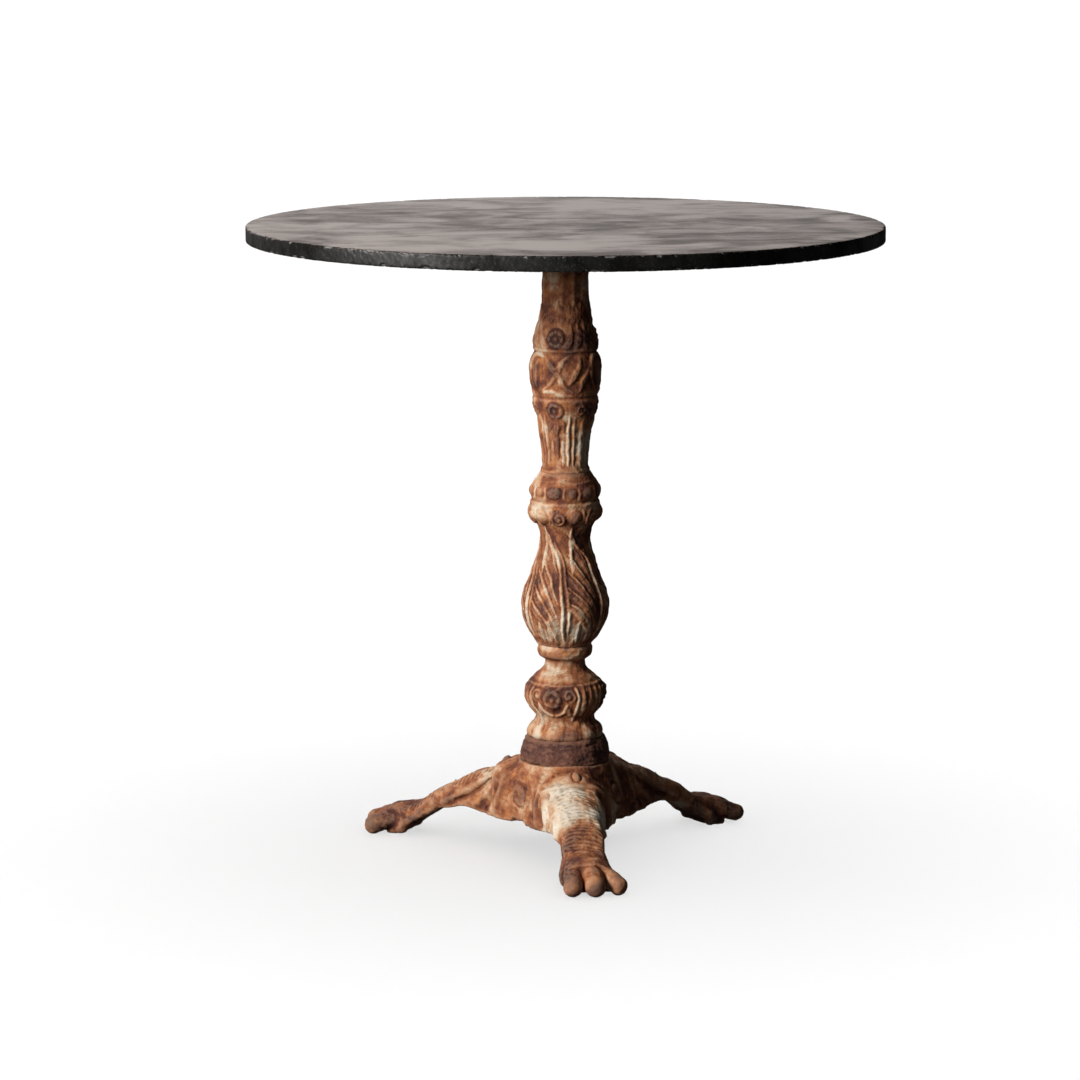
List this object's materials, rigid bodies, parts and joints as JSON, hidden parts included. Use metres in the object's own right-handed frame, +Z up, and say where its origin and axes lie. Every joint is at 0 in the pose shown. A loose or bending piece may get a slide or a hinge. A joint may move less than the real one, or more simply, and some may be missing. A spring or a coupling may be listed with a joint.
{
  "type": "pedestal bistro table",
  "caption": "Pedestal bistro table: round stone top on a cast-iron spider, slim ornamented column in stacked castings and a tripod base with paw feet, clamped by a central tie rod.",
  "frame": {"origin": "on the floor, on the column's axis, which is also the centre of the round top", "axes": "+Z up along the column; one of the legs points along -Y"},
  "size_m": [0.7499, 0.75, 0.75],
  "materials": {
    "honed_stone": "honed, satin",
    "insert_brass": "machined",
    "pad_rubber": "matt",
    "screw_steel": "zinc plated, dulled",
    "spider_iron": "rusted casting",
    "shaft_iron": "worn off-white paint over rust",
    "baluster_iron": "worn off-white paint over rust",
    "vase_iron": "worn off-white paint over rust",
    "collar_iron": "rusted casting",
    "base_iron": "worn off-white paint over rust",
    "rod_steel": "oiled, spotted with rust"
  },
  "bodies": {
    "root": {"table_top": "honed_stone", "top_inserts": "insert_brass", "top_pads": "pad_rubber", "top_screws": "screw_steel", "top_screw_washers": "screw_steel", "top_spider": "spider_iron", "column_shaft": "shaft_iron", "column_baluster": "baluster_iron", "column_vase": "vase_iron", "base_collar": "collar_iron", "tripod_base": "base_iron", "tie_rod": "rod_steel", "tie_rod_top_washer": "rod_steel", "tie_rod_top_nut": "rod_steel", "tie_rod_bottom_washer": "rod_steel", "tie_rod_bottom_nut": "rod_steel"}
  },
  "joints": []
}
